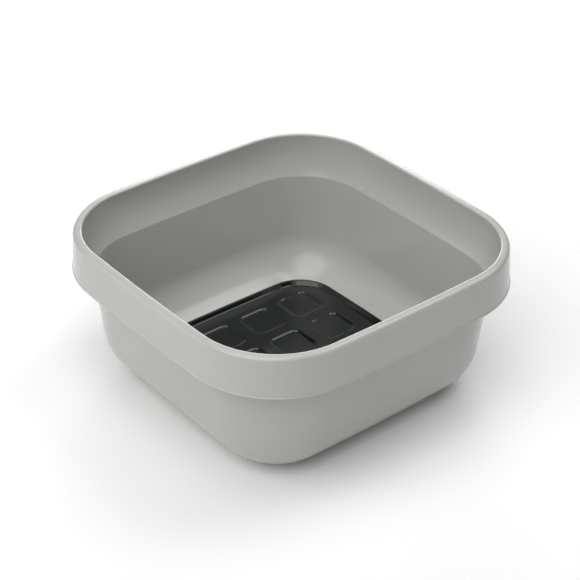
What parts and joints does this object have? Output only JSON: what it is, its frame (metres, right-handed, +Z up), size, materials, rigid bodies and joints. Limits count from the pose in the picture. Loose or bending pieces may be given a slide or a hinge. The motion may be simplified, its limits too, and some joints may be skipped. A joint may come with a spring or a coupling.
{
  "type": "foot spa basin",
  "caption": "Deep square foot basin with rounded corners, a hanging rim skirt, a coved inner wall and a lift-out black mat with shallow square wells.",
  "frame": {"origin": "on the ground, under the middle of the basin", "axes": "+Z up out of the basin's mouth, +X to the right and +Y to the rear, both square to the sides"},
  "size_m": [0.4014, 0.4014, 0.181],
  "materials": {
    "basin": "glossy",
    "mat": "glossy",
    "feet": "matte"
  },
  "bodies": {
    "basin": {"basin_shell": "basin", "anti_slip_foot_front_left": "feet", "anti_slip_foot_front_right": "feet", "anti_slip_foot_rear_left": "feet", "anti_slip_foot_rear_right": "feet"},
    "mat": {"foot_mat": "mat"}
  },
  "joints": [
    {"name": "mat_lift", "type": "slide", "parent": "basin", "child": "mat", "axis": [0, 0, 1], "range_m": [0, 0.2]}
  ]
}
